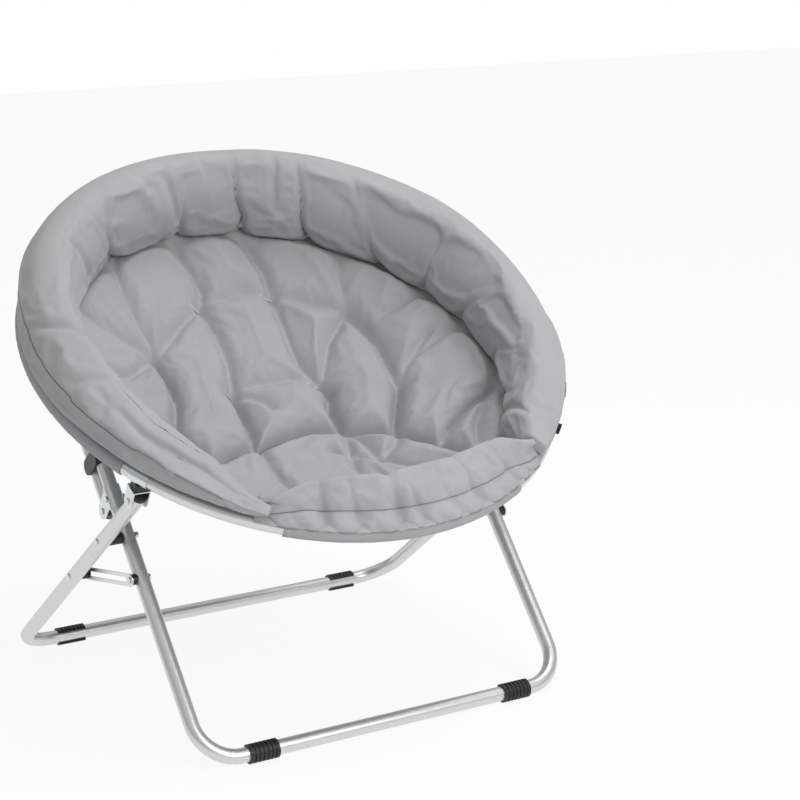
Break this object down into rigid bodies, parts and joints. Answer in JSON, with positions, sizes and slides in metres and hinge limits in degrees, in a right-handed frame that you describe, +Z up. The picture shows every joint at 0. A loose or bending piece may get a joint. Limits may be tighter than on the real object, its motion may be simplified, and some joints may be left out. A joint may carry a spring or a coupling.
{
  "type": "folding saucer chair",
  "caption": "Round padded saucer chair on a folding tubular steel frame, with a creased bolster round a tufted bucket seat.",
  "frame": {"origin": "on the floor, under the middle of the chair's outline", "axes": "+X to the right as seen from the front, +Y from the front foot bar towards the back, +Z up"},
  "size_m": [0.8389, 0.7488, 0.7856],
  "materials": {
    "tube_silver": "satin silver lacquer on steel tube",
    "zinc": "bright zinc plated steel sheet, rivets and screws",
    "black_plastic": "moulded black plastic, slightly glossy",
    "foot_plastic": "ribbed black plastic",
    "padded_cloth": "light grey fine woven cloth over padding",
    "canvas": "light grey plain canvas",
    "tag_black": "black ribbon"
  },
  "bodies": {
    "seat": {"blank_tag": "tag_black", "bolster": "padded_cloth", "front_block_left": "black_plastic", "front_block_right": "black_plastic", "front_channel_left": "zinc", "front_channel_right": "zinc", "front_lip": "padded_cloth", "front_saddle_left": "zinc", "front_saddle_right": "zinc", "hoop_joiner": "tube_silver", "hoop_nuts": "zinc", "hoop_pivot_rivets": "zinc", "hoop_screws": "zinc", "hoop_sleeve_back": "canvas", "hoop_sleeve_front": "canvas", "hoop_sleeve_left": "canvas", "hoop_sleeve_right": "canvas", "rear_block_left": "black_plastic", "rear_block_right": "black_plastic", "rear_channel_left": "zinc", "rear_channel_right": "zinc", "rear_saddle_left": "zinc", "rear_saddle_right": "zinc", "seat_cushion": "padded_cloth", "seat_hoop": "tube_silver", "seat_sling": "canvas"},
    "rear_leg": {"cross_spacer_left": "black_plastic", "cross_spacer_right": "black_plastic", "rear_foot_pad_left": "foot_plastic", "rear_foot_pad_right": "foot_plastic", "rear_leg_frame": "tube_silver", "rear_leg_plug_left": "black_plastic", "rear_leg_plug_right": "black_plastic", "rear_leg_rivets": "zinc"},
    "back_stays": {"back_stay_left": "tube_silver", "back_stay_right": "tube_silver", "stay_foot_plug_left": "black_plastic", "stay_foot_plug_right": "black_plastic", "stay_top_plug_left": "black_plastic", "stay_top_plug_right": "black_plastic"},
    "front_leg": {"cross_nuts": "zinc", "front_foot_pad_left": "foot_plastic", "front_foot_pad_right": "foot_plastic", "front_leg_frame": "tube_silver", "link_rivets": "zinc", "link_washer_left": "black_plastic", "link_washer_right": "black_plastic", "stay_bracket_left": "zinc", "stay_bracket_right": "zinc", "stay_bracket_rivets": "zinc", "stay_foot_rivets": "zinc", "stop_fork_left": "black_plastic", "stop_fork_right": "black_plastic"},
    "links": {"slotted_link_left": "zinc", "slotted_link_right": "zinc"},
    "slot_pins": {"slot_pin_left": "black_plastic", "slot_pin_right": "black_plastic"}
  },
  "joints": [
    {"name": "fold_pivot", "type": "hinge", "parent": "back_stays", "child": "front_leg", "pos_m": [0, 0.0078, 0.30938], "axis": [1, 0, 0], "range_deg": [0, 163.39], "deforming": ["seat_sling", "seat_cushion"]},
    {"name": "rear_leg_pivot", "type": "hinge", "parent": "seat", "child": "rear_leg", "pos_m": [0, -0.1693, 0.37429], "axis": [1, 0, 0], "range_deg": [0, 53.45], "deforming": ["seat_sling", "seat_cushion"]},
    {"name": "stay_pivot", "type": "hinge", "parent": "seat", "child": "back_stays", "pos_m": [0, 0.25816, 0.59397], "axis": [1, 0, 0], "range_deg": [-23.72, 0], "deforming": ["seat_sling", "seat_cushion"]},
    {"name": "link_pivot", "type": "hinge", "parent": "front_leg", "child": "links", "pos_m": [0, -0.09377, 0.23259], "axis": [1, 0, 0], "range_deg": [-104.47, 0]},
    {"name": "slot_slide", "type": "slide", "parent": "links", "child": "slot_pins", "axis": [0, 0.9788, -0.205], "range_m": [-0.0862, 0]}
  ],
  "couplings": [
    {"joint": "rear_leg_pivot", "follows": "fold_pivot", "ratio": 0.32699},
    {"joint": "stay_pivot", "follows": "fold_pivot", "ratio": -0.14505},
    {"joint": "link_pivot", "follows": "fold_pivot", "ratio": -0.63925},
    {"joint": "slot_slide", "follows": "fold_pivot", "m_per_rad": -0.030181}
  ]
}
